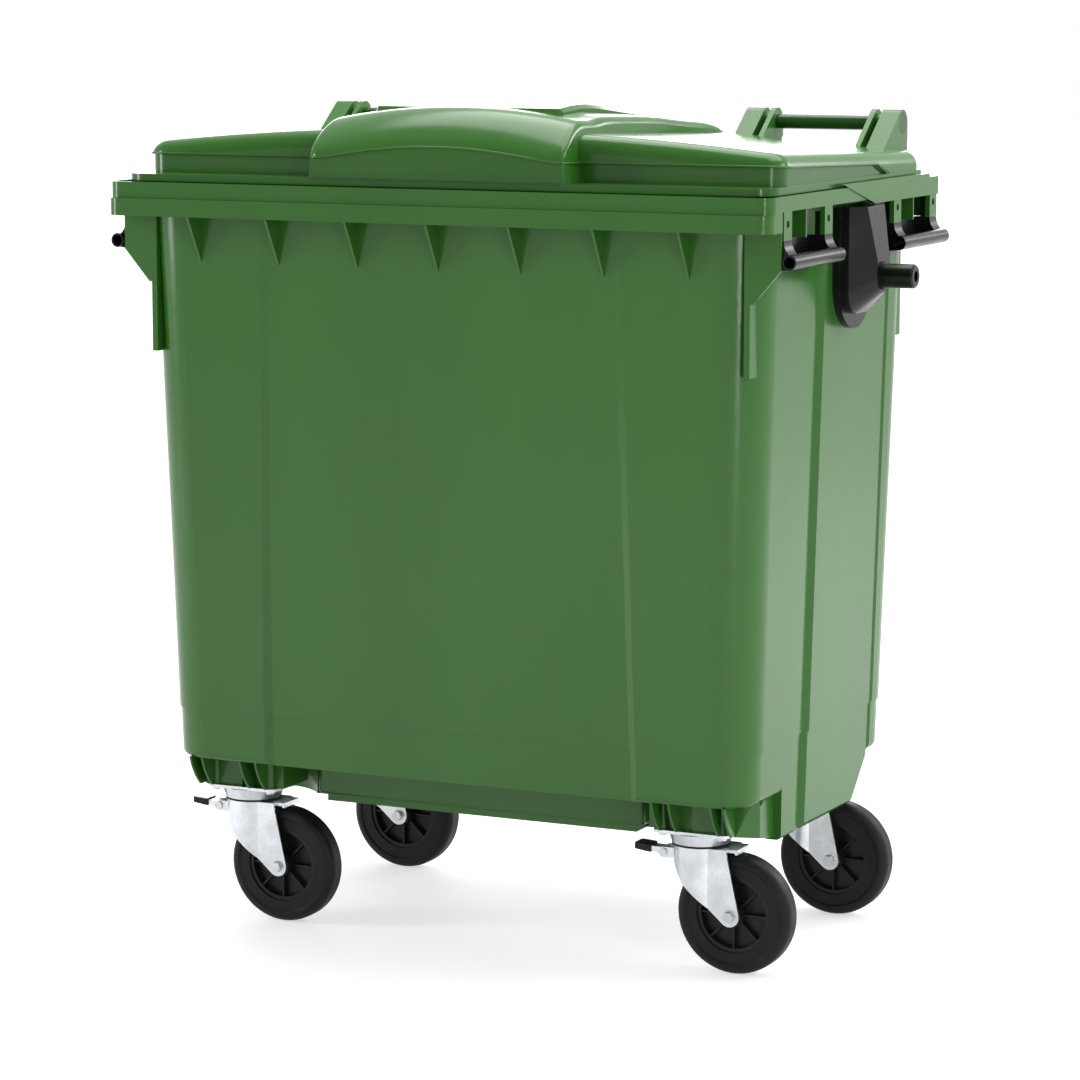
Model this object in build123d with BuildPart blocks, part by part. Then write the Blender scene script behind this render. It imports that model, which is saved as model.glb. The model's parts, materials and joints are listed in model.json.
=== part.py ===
from build123d import *
import math
import os

os.makedirs("parts", exist_ok=True)

# Frame: X to the right, Y to the back, Z up, millimetres, origin on the floor under the middle of the rim.

# Overall sizes
pin_span = 1370
rim_width = 1198
rim_depth = 769
rim_top = 1278.4
overrun = 30
clearance = 0.4

# Tub
tub_wall = 5
tub_bottom = 288
tub_half_low = 537
tub_half_high = 565.6
tub_front_low = 312.2
tub_front_high = 340.8
tub_rear_low = 346.5
tub_rear_high = 375
tub_radius_low = 70
tub_radius_high = 84
tub_edge_radius = 13
step_height = 375
step_inset = 2.5
panel_half_low = 348
panel_half_high = 327
panel_slope = 13
panel_depth_low = 7.8
panel_depth_high = 0.5
panel_top = 1205
groove_centre = -62
groove_half = 22
groove_slope = 8
groove_depth = 8
crease_centre = 250
crease_half = 8
crease_slope = 5
crease_depth = 3

# Rim
rim_plate = 4
gutter_drop = 12
rim_skirt = 24
rim_radius = 24
comb_skirt = 56.4
comb_set_back = 6
comb_band = 29.4
comb_side_end = -327
collar_height = 8
collar_wall = 4
collar_rear = 280
rib_count = 7
rib_pitch = 148
rib_wall = 4
rib_drop = 134
gusset_drop = 170
gusset_straight = 116
gusset_place = -325
gusset_wall = 4
strip_centre = 540
strip_width = 10
strip_front = 327
strip_rear = 357
strip_depth = 34
strip_bottom = 991
strip_rear_bottom = 1005
strip_rear_top = 1150
flap_proud = 3
flap_wall = 8
flap_rise = 6
flap_front = -67
flap_knee = 76
flap_step = 337
flap_drop = 31

# Grip posts and side grips
front_grip = -216.3
rear_grip = 279.5
post_pitch = 176
post_width = 34
post_wall = 8
post_bottom = 1209
post_hole_drop = 44
post_hole_radius = 6
post_web = 4
grip_seat = 566
grip_base = 1160
grip_pad_half = 70
grip_pad_root = 540
grip_back_wall = 8
grip_bar_x = 611
grip_bar_z = 1176
grip_bar_radius = 12
grip_bar_bore = 9
grip_bar_front = 112
grip_bar_end = 105
grip_tab_wall = 9
grip_tab_top = 1246
screw_head_radius = 5.4
screw_head = 4
screw_radius = 2.5
screw_length = 12

# Lifting pins
pin_y = 48
pin_z = 1131
pin_radius = 20
pin_end_bore = 9.5
pin_end_depth = 14
pin_end_chamfer = 3
pin_collar_radius = 23.5
pin_collar = 5
pin_root = 602
plate_y = 52
plate_half = 76
plate_seat = 566
plate_face = 578
plate_bottom = 1042
plate_top = 1245
boss_half = 60
boss_bottom = 1068
boss_shoulder = 590
boss_corner = 40
boss_end = 628
boss_end_radius = 28
boss_lean_start = 1160
boss_lean_top = 614
trunnion_bolt_radius = 5
trunnion_bolt_head = 8.5
trunnion_bolt_head_height = 6
trunnion_bolt_pitch_y = 70
trunnion_bolt_pitch_z = 120
trunnion_bolt_centre_z = 1150
trunnion_bolt_pad = 12
trunnion_bolt_seat = 552
trunnion_bolt_tip = 574

# Lid
lid_gap = 0.4
lip_wall = 12
lip_half = 586
lip_front = -349
lip_rear = 374
lip_radius = 40
lip_nose = 5
dome_half = 581
dome_front = -290
dome_rear = 366
dome_radius = 40
dome_edge = 28
dome_top_front = 1341
dome_top_rear = 1320
dome_crown = 32
bead_front = 1322
bead_rear = 1301
bead_proud = 5
notch_low = 200
notch_high = 110
lid_wall = 4
rear_swing_cut = 5
hood_half = 240
hood_draft = 15
hood_front = -352
hood_rear = 330
hood_crown = 20
hood_base = 1290
hood_height = 104
hood_corner = 12
hood_lower_recess = 5
wave_end = 1323.5
wave_shoulder_half = 212
wave_shoulder = 1325.5
wave_flank_half = 150
wave_flank = 1334
wave_peak = 1345
pad_half = 172
pad_front = -230
pad_rear = 216
pad_lean = 7
pad_corner = 7
pad_top = 1409

# Hinge blocks, lugs and push handles
axis_y = 350
axis_z = 1368
handle_centre = 406
handle_width = 284
block_width = 33
slot_width = 12
cheek_width = 9
block_radius = 24
block_front = 248
block_base = 1320
lug_gap = 0.4
lug_radius = 16
lug_front = 342
lug_foot = 75
tube_radius = 12.5
tube_bore = 9.5
tube_fit = 0.08
cap_radius = 19.5
cap_wall = 3
cap_seat = 6

# Floor belly
belly_bottom = 210
belly_lip = 12
belly_lip_inset = 8
belly_side_front = -146
belly_side_rear = 178
belly_side_front_high = -150
belly_side_rear_high = 250
belly_side_radius = 9
belly_end_radius = 9
belly_edge_radius = 6
belly_half = 310
belly_front = -197
belly_rear = 215
pocket_radius = 110

# Castor seats
castor_x = 421
castor_front = -217
castor_rear = 235
seat_height = 237
seat_half_x = 78
seat_half_y = 54
seat_wall = 5
seat_boss_radius = 9
seat_recess = 20
fin_wall = 4
fin_bulge = 5
fin_offsets_shares = (-0.67, -0.28, 0.67, 0.96)
fin_reach_front = 305
fin_reach_rear = 339
side_fin_reach = 526
side_fin_shares = (0.7, -0.28)
apron_half = 522
apron_low = 214
apron_back = 12
apron_wall = 4

# Drain plug
plug_y = 120
plug_radius = 22
plug_head_radius = 34
plug_head = 7
plug_rise = 9
plug_key = 10
plug_key_reach = 26
plug_bar = 8
plug_bar_drop = 5
seal_radius = 30
seal_wall = 2

# Castors
wheel_radius = 100
wheel_half = 23
tread_radius = 14
tyre_inner = 64
tyre_step = 82
tyre_step_depth = 2.5
rim_well = 57
rim_web_half = 4
rim_flange_half = 17
wheel_hub = 19
wheel_hub_half = 31
wheel_ribs = 8
wheel_rib = 3
sleeve_radius = 10
axle_radius = 6
bearing_fit = 0.08
trail = 65
mount_half_x = 67.5
mount_half_y = 50
mount_wall = 5
mount_corner = 12
mount_bolt_x = 52.5
mount_bolt_y = 36
bolt_radius = 5
bolt_head_radius = 8
bolt_head = 5
bolt_length = 26
race_radius = 44
race_flare = 54
race_flare_low = 214
seal_ring_radius = 48
seal_ring_height = 3.2
crown_radius = 45
crown_top = 210
crown_wall = 5
fork_wall = 4
fork_half = 32
leg_rear = 58
leg_bottom_radius = 17
skirt_front_low = 190
skirt_knee_x = -16
skirt_knee_z = 149
skirt_rear_low = 190
tab_reach = 75
tab_half = 27
tab_lip = 8
kingpin_radius = 8
kingpin_head = 13
kingpin_head_height = 6
kingpin_fit = 0.08
axle_head_radius = 9.5
axle_head = 6
axle_end = 8
lever_pivot_x = -61
lever_pivot_z = 192
lever_ear_radius = 9
lever_ear_wall = 3
lever_half = 12
lever_wall = 4
lever_reach = -96
lever_rise = 6
pivot_radius = 4
pivot_fit = 0.08
pivot_head_radius = 7
pivot_head = 3
pedal_start = -84
pedal_end = -113
pedal_half = 17
pedal_wall = 12


def mix(low, high, share):
    return low + (high - low) * share


def tub_share(height):
    return (height - tub_bottom) / (rim_top - tub_bottom)


def tub_half(height):
    return mix(tub_half_low, tub_half_high, tub_share(height))


def tub_front(height):
    return -mix(tub_front_low, tub_front_high, tub_share(height))


def tub_rear(height):
    return mix(tub_rear_low, tub_rear_high, tub_share(height))


def tub_radius(height):
    return mix(tub_radius_low, tub_radius_high, tub_share(height))


def ring_sketch(half, front, rear, radius, height):
    with BuildSketch(Plane.XY.offset(height)) as outline:
        with Locations((0, (front + rear) / 2)):
            RectangleRounded(2 * half, rear - front, radius)
    return outline.sketch


def tub_form(inset, low, high):
    with BuildPart() as form:
        for height in (low, high):
            half = tub_half(height) - inset
            front = tub_front(height) + inset
            rear = tub_rear(height) - inset
            add(ring_sketch(half, front, rear, tub_radius(height) - inset, height))
        loft(ruled=True)
    return form.part


def slope_wedge(face_low, face_high, inset, half_low, half_high, slope, depth_low, depth_high, low, high):
    # A trapezium prism that bites into a wall lying at y = face; it is turned for the side walls.
    with BuildPart() as wedge:
        levels = ((low, face_low, half_low, depth_low), (high, face_high, half_high, depth_high))
        for height, face, half, depth in levels:
            with BuildSketch(Plane.XY.offset(height)):
                with BuildLine():
                    outer = half + inset
                    inner = half - slope + inset
                    Polyline(
                        (-outer, face - overrun),
                        (outer, face - overrun),
                        (outer, face + inset),
                        (inner, face + inset + depth),
                        (-inner, face + inset + depth),
                        (-outer, face + inset),
                        close=True,
                    )
                make_face()
        loft(ruled=True)
    return wedge.part


def panel_share(height):
    return (height - belly_bottom) / (panel_top - belly_bottom)


def panel_half(height):
    return mix(panel_half_low, panel_half_high, panel_share(height))


def panel_depth(height):
    return mix(panel_depth_low, panel_depth_high, panel_share(height))


def wall_recesses(inset, shift, low, high):
    # The panels and grooves between two heights, moved inwards by shift below the step.
    panel_high = min(high, panel_top)
    shapes = []
    for face, turn in ((tub_front, 0), (tub_rear, 180)):
        wedge = slope_wedge(
            shift - abs(face(low)), shift - abs(face(panel_high)), inset,
            panel_half(low), panel_half(panel_high), panel_slope,
            panel_depth(low), panel_depth(panel_high), low, panel_high,
        )
        shapes.append(wedge.rotate(Axis.Z, turn))
    for centre, half, slope, depth in (
        (groove_centre, groove_half, groove_slope, groove_depth),
        (crease_centre, crease_half, crease_slope, crease_depth),
    ):
        side = slope_wedge(
            shift - tub_half(low), shift - tub_half(high), inset, half, half, slope, depth, depth, low, high
        )
        shapes.append(side.rotate(Axis.Z, -90).moved(Location((0, centre, 0))))
        shapes.append(side.rotate(Axis.Z, 90).moved(Location((0, centre, 0))))
    return shapes


def belly_form(inset, lip, low, high):
    # The part of the tub below its floor: slanted at its side ends, and narrower by lip at its front and rear.
    with BuildPart() as footprint:
        for height in (low, high):
            share = (height - belly_bottom) / (tub_bottom - belly_bottom)
            front = mix(belly_side_front, belly_side_front_high, share) + inset
            rear = mix(belly_side_rear, belly_side_rear_high, share) - inset
            with BuildSketch(Plane.XY.offset(height)):
                with Locations((0, (front + rear) / 2)):
                    Rectangle(2 * tub_half_high, rear - front)
        loft(ruled=True)
        with BuildSketch(Plane.XY.offset(low)):
            with Locations((0, (belly_front + belly_rear) / 2)):
                depth = belly_rear - belly_front - 2 * (inset + lip)
                Rectangle(2 * (belly_half - inset - 2 * lip), depth)
        extrude(amount=high - low)
        with BuildSketch(Plane.XY.offset(low)):
            with Locations(*castor_places()):
                Circle(pocket_radius + inset)
        extrude(amount=high - low, mode=Mode.SUBTRACT)
        add(tub_form(inset, low, high), mode=Mode.INTERSECT)
    return footprint.part


def belly_upper_form(high):
    # The belly above its lip, with rounded ends and a rounded lower edge.
    upper = belly_form(step_inset, 0, belly_bottom + belly_lip, high)
    middle = [edge for edge in upper.edges() if abs(edge.center().X) < belly_half + clearance]
    ends = ShapeList(middle).filter_by(Axis.Z).filter_by(lambda edge: edge.center().Y < 0)
    upper = upper.fillet(belly_end_radius, ends)
    low = upper.edges().group_by(Axis.Z)[0]
    return upper.fillet(belly_edge_radius, low.filter_by(lambda edge: abs(edge.center().X) < belly_half))


def belly_lip_form():
    lip = belly_form(step_inset, belly_lip_inset, belly_bottom, belly_bottom + belly_lip)
    low_edges = lip.edges().group_by(Axis.Z)[0].filter_by(Axis.Y)
    sides = low_edges.filter_by(lambda edge: abs(edge.center().X) > castor_x)
    return lip.fillet(belly_side_radius, sides)


def castor_places():
    return [(side * castor_x, y) for y in (castor_front, castor_rear) for side in (-1, 1)]


def rim_under():
    return rim_top - gutter_drop - rim_plate


def rim_ring(front, low, high, wall):
    with BuildPart() as ring:
        add(ring_sketch(rim_width / 2, front, rim_depth / 2, rim_radius, low))
        extrude(amount=high - low)
        inner = ring_sketch(rim_width / 2 - wall, front + wall, rim_depth / 2 - wall, rim_radius - wall, low)
        add(inner)
        extrude(amount=high - low, mode=Mode.SUBTRACT)
    return ring.part


def rim_parts():
    front = -rim_depth / 2
    upper_front = front + comb_set_back
    ledge = rim_top - comb_skirt + comb_band
    ring_width = comb_set_back + rim_plate / 2
    with BuildPart() as skirt:
        add(rim_ring(front, rim_top - comb_skirt, ledge, rim_plate))
        add(rim_ring(front, ledge - rim_plate, ledge, ring_width))
        add(rim_ring(upper_front, ledge - rim_plate, rim_top, rim_plate))
        with BuildSketch(Plane.XY.offset(rim_top - comb_skirt)):
            with Locations((0, comb_side_end + rim_depth)):
                Rectangle(rim_width + overrun, 2 * rim_depth)
        extrude(amount=comb_skirt - rim_skirt, mode=Mode.SUBTRACT)
    with BuildPart() as plate:
        add(ring_sketch(rim_width / 2, upper_front, rim_depth / 2, rim_radius, rim_under()))
        extrude(amount=rim_plate)
    with BuildPart() as collar:
        outer = ring_sketch(
            tub_half_high - tub_wall + collar_wall,
            -tub_front_high + tub_wall - collar_wall,
            tub_rear_high,
            tub_radius_high,
            rim_top,
        )
        add(outer)
        extrude(amount=collar_height)
        with BuildSketch(Plane.XY.offset(rim_top)):
            with Locations((0, collar_rear + rim_depth)):
                Rectangle(rim_width, 2 * rim_depth)
        extrude(amount=collar_height, mode=Mode.SUBTRACT)
    return [skirt.part, plate.part, collar.part]


def comb_ribs():
    tip = rim_top - rib_drop
    top = rim_under()
    front = -rim_depth / 2 + rim_plate
    step = rim_top - comb_skirt + comb_band - rim_plate / 2
    with BuildPart() as ribs:
        for number in range(rib_count):
            place = (number - (rib_count - 1) / 2) * rib_pitch - rib_wall / 2
            with BuildSketch(Plane.YZ.offset(place)):
                with BuildLine():
                    Polyline(
                        (front, rim_top - comb_skirt),
                        (front, step),
                        (front + comb_set_back, step),
                        (front + comb_set_back, top),
                        (tub_front(top) + tub_wall, top),
                        (tub_front(tip) + tub_wall, tip),
                        (tub_front(tip), tip),
                        close=True,
                    )
                make_face()
            extrude(amount=rib_wall)
    return ribs.part


def corner_gussets():
    outer = rim_width / 2 - rim_plate / 2
    low = rim_top - gusset_drop
    root = strip_centre
    with BuildPart() as gussets:
        with BuildSketch(Plane.XZ.offset(-gusset_place - gusset_wall / 2)):
            with BuildLine():
                Polyline(
                    (root, rim_under()),
                    (outer, rim_under()),
                    (outer, rim_top - gusset_straight),
                    (strip_centre + strip_width, low),
                    (root, low),
                    close=True,
                )
            make_face()
            mirror(about=Plane.YZ)
        extrude(amount=gusset_wall)
    return gussets.part


def corner_strips():
    with BuildPart() as strips:
        with BuildSketch(Plane.XY.offset(strip_bottom)):
            with Locations(
                (-strip_centre, -strip_front + strip_depth / 2), (strip_centre, -strip_front + strip_depth / 2)
            ):
                Rectangle(strip_width, strip_depth)
        extrude(amount=rim_under() - strip_bottom)
        with BuildSketch(Plane.XY.offset(strip_rear_bottom)):
            with Locations(
                (-strip_centre, strip_rear - strip_depth / 2), (strip_centre, strip_rear - strip_depth / 2)
            ):
                Rectangle(strip_width, strip_depth)
        extrude(amount=strip_rear_top - strip_rear_bottom)
    return strips.part


def post_places():
    return [centre + end * post_pitch / 2 for centre in (front_grip, rear_grip) for end in (-1, 1)]


def grip_posts():
    # The right side's posts with their webs, and the flats that the grips stand against.
    outer = rim_width / 2
    hole_z = rim_top - post_hole_drop
    with BuildPart() as posts:
        for place in post_places():
            with BuildSketch(Plane.YZ.offset(outer - post_wall)):
                with Locations((place, (post_bottom + rim_under()) / 2)):
                    Rectangle(post_width, rim_under() - post_bottom)
                with Locations((place, hole_z)):
                    Circle(post_hole_radius, mode=Mode.SUBTRACT)
            extrude(amount=post_wall)
        for centre in (front_grip, rear_grip):
            with BuildSketch(Plane.YZ.offset(grip_pad_root)):
                with Locations((centre, (grip_base + post_bottom) / 2)):
                    Rectangle(2 * grip_pad_half, post_bottom - grip_base)
            extrude(amount=grip_seat - grip_pad_root)
            with BuildSketch(Plane.YZ.offset(grip_pad_root)):
                with Locations((centre, (post_bottom + rim_under()) / 2)):
                    Rectangle(post_web, rim_under() - post_bottom)
            extrude(amount=outer - rim_plate - grip_pad_root)
    return posts.part


def rear_corner_panels():
    # Panels that close the space under the rim at the two rear corners.
    with BuildPart() as panels:
        with BuildSketch(Plane.XY.offset(post_bottom)):
            inner = strip_centre - strip_width
            outer = rim_width / 2 - post_wall - grip_tab_wall - clearance
            for side in (-1, 1):
                with Locations((side * (inner + outer) / 2, rim_depth / 2 - rim_plate / 2)):
                    Rectangle(outer - inner, rim_plate)
        extrude(amount=rim_under() - post_bottom)
    return panels.part


def rim_flap():
    outer = rim_width / 2 + flap_proud
    with BuildPart() as flap:
        with BuildSketch(Plane.YZ.offset(outer - flap_wall)):
            with BuildLine():
                Polyline(
                    (flap_front, rim_top + flap_rise),
                    (flap_knee, rim_top - flap_drop),
                    (rim_depth / 2, rim_top - flap_drop),
                    (rim_depth / 2, rim_top),
                    (flap_step + flap_rise, rim_top),
                    (flap_step, rim_top + flap_rise),
                    close=True,
                )
            make_face()
        extrude(amount=flap_wall)
    return flap.part


def plate_outline(low_x, high_x):
    # The rounded-bottom outline of a lifting pin's plate, from low_x to high_x.
    with BuildPart() as shape:
        with BuildSketch(Plane.YZ.offset(low_x)):
            middle = plate_bottom + plate_half
            with Locations((plate_y, middle)):
                Circle(plate_half)
            with Locations((plate_y, (middle + plate_top) / 2)):
                Rectangle(2 * plate_half, plate_top - middle)
        extrude(amount=high_x - low_x)
    return shape.part


def bolt_places():
    return [
        (pin_y + y * trunnion_bolt_pitch_y / 2, trunnion_bolt_centre_z + z * trunnion_bolt_pitch_z / 2)
        for y in (-1, 1) for z in (-1, 1)
    ]


def bolt_pads():
    # Flats inside the tub for the heads of the lifting plate's bolts.
    with BuildPart() as pads:
        with BuildSketch(Plane.YZ.offset(trunnion_bolt_seat)):
            with Locations(*bolt_places()):
                Circle(trunnion_bolt_pad)
        extrude(amount=plate_seat - trunnion_bolt_seat)
    return pads.part


def bolt_holes(low_x, high_x):
    with BuildPart() as holes:
        with BuildSketch(Plane.YZ.offset(low_x)):
            with Locations(*bolt_places()):
                Circle(trunnion_bolt_radius)
        extrude(amount=high_x - low_x)
    return holes.part


def handle_layers():
    # Across one push handle, seen from its middle: cheek, slot and outer block on each side.
    outer = handle_width / 2
    slot = outer - block_width
    cheek = slot - slot_width
    return outer, slot, cheek, cheek - cheek_width


def lug_places():
    outer, slot, cheek, inner = handle_layers()
    middle = (slot + cheek) / 2
    return [side * (handle_centre + end * middle) for side in (-1, 1) for end in (-1, 1)]


def hinge_lugs():
    width = slot_width - 2 * lug_gap
    rear = rim_depth / 2 - rim_plate / 2
    foot = rim_top - lug_foot
    with BuildPart() as lugs:
        for place in lug_places():
            with BuildSketch(Plane.YZ.offset(place - width / 2)):
                with Locations((axis_y, axis_z)):
                    Circle(lug_radius)
                with Locations(((lug_front + rear) / 2, rim_top - gutter_drop / 2)):
                    Rectangle(rear - lug_front, gutter_drop)
                with Locations((tub_rear(foot) - tub_wall / 2, foot)):
                    Rectangle(lug_gap, lug_gap)
                make_hull()
                with Locations((axis_y, axis_z)):
                    Circle(tube_radius, mode=Mode.SUBTRACT)
            extrude(amount=width)
    return lugs.part


def front_fins(x, y, top):
    # Curved fins that run from a castor seat out to the lower edge of the tub's front or rear.
    ahead = math.copysign(1, y)
    reach = fin_reach_front if y < 0 else fin_reach_rear
    start = y + ahead * seat_half_y
    with BuildPart() as fins:
        for share in fin_offsets_shares:
            place = x + math.copysign(share, share * x) * seat_half_x - fin_wall / 2
            with BuildSketch(Plane.YZ.offset(place)):
                with BuildLine():
                    middle = ((start + ahead * reach) / 2 + ahead * fin_bulge, (seat_height + top) / 2)
                    curve = ThreePointArc((start, seat_height), middle, (ahead * reach, top))
                    Polyline(curve @ 1, (y, top), (y, seat_height), curve @ 0)
                make_face()
            extrude(amount=fin_wall)
    return fins.part


def side_fins(x, y, top):
    # Fins that run from a castor seat out to the lower edge of the tub's side.
    outside = math.copysign(1, x)
    ahead = math.copysign(1, y)
    with BuildPart() as fins:
        for share in side_fin_shares:
            place = y + ahead * share * seat_half_y
            with BuildSketch(Plane.XZ.offset(-place - fin_wall / 2)):
                with BuildLine():
                    Polyline(
                        (x, seat_height),
                        (x + outside * seat_half_x, seat_height),
                        (outside * side_fin_reach, top),
                        (x, top),
                        close=True,
                    )
                make_face()
            extrude(amount=fin_wall)
    return fins.part


def apron_wall_form(x, y, top):
    # The wall that closes the side of a castor seat, with a lower edge that falls towards the belly.
    outside = math.copysign(1, x)
    ahead = math.copysign(1, y)
    belly_side = belly_side_front if y < 0 else belly_side_rear
    face = outside * (apron_half - apron_wall)
    with BuildPart() as apron:
        with BuildSketch(Plane.XY.offset(apron_low)):
            with BuildLine():
                path = Polyline(
                    (x + outside * (seat_half_x - seat_wall), y + ahead * (seat_half_y - seat_recess)),
                    (face, y - ahead * apron_back),
                    (face, belly_side - ahead * overrun),
                )
            trace(path, line_width=apron_wall)
        extrude(amount=top - apron_low)
        with BuildSketch(Plane.YZ.offset(min(x, face) - seat_half_x)):
            with BuildLine():
                Polyline(
                    (y + ahead * seat_half_y, seat_height),
                    (belly_side, apron_low),
                    (belly_side, apron_low - overrun),
                    (y + ahead * seat_half_y, apron_low - overrun),
                    close=True,
                )
            make_face()
        extrude(amount=abs(face - x) + 2 * seat_half_x, mode=Mode.SUBTRACT)
    return apron.part


def castor_seats():
    top = tub_bottom + tub_wall / 2
    with BuildPart() as seats:
        for x, y in castor_places():
            ahead = math.copysign(1, y)
            length = 2 * seat_half_y - seat_recess
            with BuildSketch(Plane.XY.offset(seat_height)):
                with Locations((x, y - ahead * seat_recess / 2)):
                    Rectangle(2 * seat_half_x, length)
                    Rectangle(2 * (seat_half_x - seat_wall), length - 2 * seat_wall, mode=Mode.SUBTRACT)
                    Rectangle(seat_wall, length)
                    Rectangle(2 * seat_half_x, seat_wall)
                with Locations(*[(x + i * mount_bolt_x, y + j * mount_bolt_y) for i in (-1, 1) for j in (-1, 1)]):
                    Circle(seat_boss_radius)
            extrude(amount=top - seat_height)
            add(front_fins(x, y, top))
            add(side_fins(x, y, top))
            add(apron_wall_form(x, y, top))
    return seats.part


def bolt_cores():
    # Blind holes for the castor plate bolts.
    with BuildPart() as cores:
        for x, y in castor_places():
            with BuildSketch(Plane.XY.offset(seat_height)):
                with Locations(*[(x + i * mount_bolt_x, y + j * mount_bolt_y) for i in (-1, 1) for j in (-1, 1)]):
                    Circle(bolt_radius)
            extrude(amount=bolt_length)
    return cores.part


def both_sides(shape):
    return [shape, shape.mirror(Plane.YZ)]


def make_container_body():
    below = tub_form(step_inset, tub_bottom, step_height)
    rounded = below.edges().group_by(Axis.Z)[0]
    with BuildPart() as lower:
        add(below.fillet(tub_edge_radius, rounded))
    belly_join = tub_bottom + 2 * tub_edge_radius
    lip_top = belly_bottom + belly_lip
    groove_top = rim_top - rim_skirt
    with BuildPart() as container_body:
        add(tub_form(0, step_height, rim_top))
        add(lower.part)
        add(belly_upper_form(belly_join))
        add(belly_lip_form())
        for recess in wall_recesses(0, 0, step_height, groove_top):
            add(recess, mode=Mode.SUBTRACT)
        for recess in wall_recesses(0, step_inset, belly_bottom, step_height):
            add(recess, mode=Mode.SUBTRACT)
        add(rim_parts())
        add(comb_ribs())
        add(corner_gussets())
        add(corner_strips())
        add(both_sides(grip_posts()))
        add(rear_corner_panels())
        add(both_sides(rim_flap()))
        add(both_sides(plate_outline(trunnion_bolt_seat, plate_seat)))
        add(castor_seats())
        with BuildPart(mode=Mode.PRIVATE) as cavity:
            add(tub_form(tub_wall + step_inset, tub_bottom + tub_wall, step_height))
            add(tub_form(tub_wall, step_height, rim_top + collar_height))
            add(belly_form(step_inset + tub_wall, 0, lip_top + tub_wall, belly_join + tub_wall))
            add(belly_form(step_inset + tub_wall, belly_lip_inset, belly_bottom + tub_wall, lip_top + tub_wall))
            for recess in wall_recesses(tub_wall, 0, step_height, groove_top):
                add(recess, mode=Mode.SUBTRACT)
            for recess in wall_recesses(tub_wall, step_inset, belly_bottom, step_height):
                add(recess, mode=Mode.SUBTRACT)
            add(both_sides(bolt_pads()), mode=Mode.SUBTRACT)
        add(cavity.part, mode=Mode.SUBTRACT)
        add(hinge_lugs())
        add(both_sides(bolt_holes(trunnion_bolt_seat, plate_seat)), mode=Mode.SUBTRACT)
        add(bolt_cores(), mode=Mode.SUBTRACT)
        with BuildSketch(Plane.XY.offset(belly_bottom)):
            with Locations((0, plug_y)):
                Circle(plug_radius)
                Rectangle(plug_key + 2 * clearance, 2 * (plug_key_reach + clearance))
        extrude(amount=tub_wall, mode=Mode.SUBTRACT)
    return container_body.part


def make_drain_plug():
    with BuildPart() as plug:
        seat = belly_bottom - clearance - seal_wall
        with BuildSketch(Plane.XY.offset(seat - plug_head)):
            with Locations((0, plug_y)):
                Circle(plug_head_radius)
        extrude(amount=plug_head)
        with BuildSketch(Plane.XY.offset(seat)):
            with Locations((0, plug_y)):
                Circle(plug_radius - clearance)
        extrude(amount=belly_bottom + tub_wall + clearance + plug_rise - seat)
        with BuildSketch(Plane.XY.offset(belly_bottom + tub_wall + clearance)):
            with Locations((0, plug_y)):
                Rectangle(2 * plug_key_reach, plug_key)
        extrude(amount=plug_rise)
        with BuildSketch(Plane.XY.offset(seat - plug_head - plug_bar_drop)):
            with Locations((0, plug_y)):
                Rectangle(2 * plug_radius, plug_bar)
        extrude(amount=plug_bar_drop)
    return plug.part


def make_drain_seal():
    with BuildPart() as seal:
        with BuildSketch(Plane.XY.offset(belly_bottom - clearance - seal_wall)):
            with Locations((0, plug_y)):
                Circle(seal_radius)
                Circle(plug_radius - clearance, mode=Mode.SUBTRACT)
        extrude(amount=seal_wall)
    return seal.part


def tilted_plane(front_height, rear_height):
    slope = (rear_height - front_height) / (dome_rear - dome_front)
    return Plane(origin=(0, dome_front, front_height), x_dir=(1, 0, 0), z_dir=(0, -slope, 1))


def crowned_form(drop, low):
    # Everything under the dome's top, which is arched across and falls to the rear.
    slope = (dome_top_rear - dome_top_front) / (dome_rear - dome_front)
    start = dome_front - overrun
    origin = (0, start, dome_top_front - slope * overrun - drop)
    with BuildPart() as form:
        with BuildSketch(Plane(origin=origin, x_dir=(1, 0, 0), z_dir=(0, -1, -slope))):
            with BuildLine():
                top = ThreePointArc((-dome_half, 0), (0, dome_crown), (dome_half, 0))
                depth = low - dome_top_front
                Polyline(top @ 1, (dome_half, depth), (-dome_half, depth), top @ 0)
            make_face()
        extrude(amount=start - dome_rear - overrun)
    return form.part


def dome_prism(inset, low, drop, edge):
    with BuildPart() as prism:
        outline = ring_sketch(
            dome_half - inset, dome_front + inset, dome_rear - inset, dome_radius - inset, low
        )
        add(outline)
        extrude(amount=dome_top_front + 2 * dome_crown - low)
        add(crowned_form(drop, low - overrun), mode=Mode.INTERSECT)
        fillet(prism.faces().sort_by(Axis.Z)[-1].edges(), edge)
    return prism.part


def below_plane(plane, low):
    with BuildPart() as block:
        with BuildSketch(Plane.XY.offset(low)):
            Rectangle(2 * rim_width, 2 * rim_depth)
        extrude(amount=dome_top_front + overrun - low)
        split(bisect_by=plane, keep=Keep.BOTTOM)
    return block.part


# Along the hood from front to rear: place, side height and crown as shares of its length, height and
# crown, and how far the sides are drawn in, as a share of its corner radius.
hood_shares = (
    (0.0, 0.385, 0.5, 1.0),
    (0.012, 0.5, 0.7, 0.3),
    (0.04, 0.668, 0.9, 0.0),
    (0.076, 0.827, 1.0, 0.0),
    (0.13, 0.936, 1.0, 0.0),
    (0.25, 0.962, 0.9, 0.0),
    (0.45, 0.95, 0.5, 0.0),
    (0.648, 0.88, 0.2, 0.0),
    (0.809, 0.795, 0.05, 0.0),
    (0.941, 0.71, 0.03, 0.0),
    (1.0, 0.58, 0.03, 0.0),
)
# Along the pad on the hood: place and drop as shares of its length and height.
pad_shares = ((0.12, 0.0), (0.28, 0.03), (0.475, 0.28), (0.65, 0.5), (0.83, 0.76), (1.0, 1.0))


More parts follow.
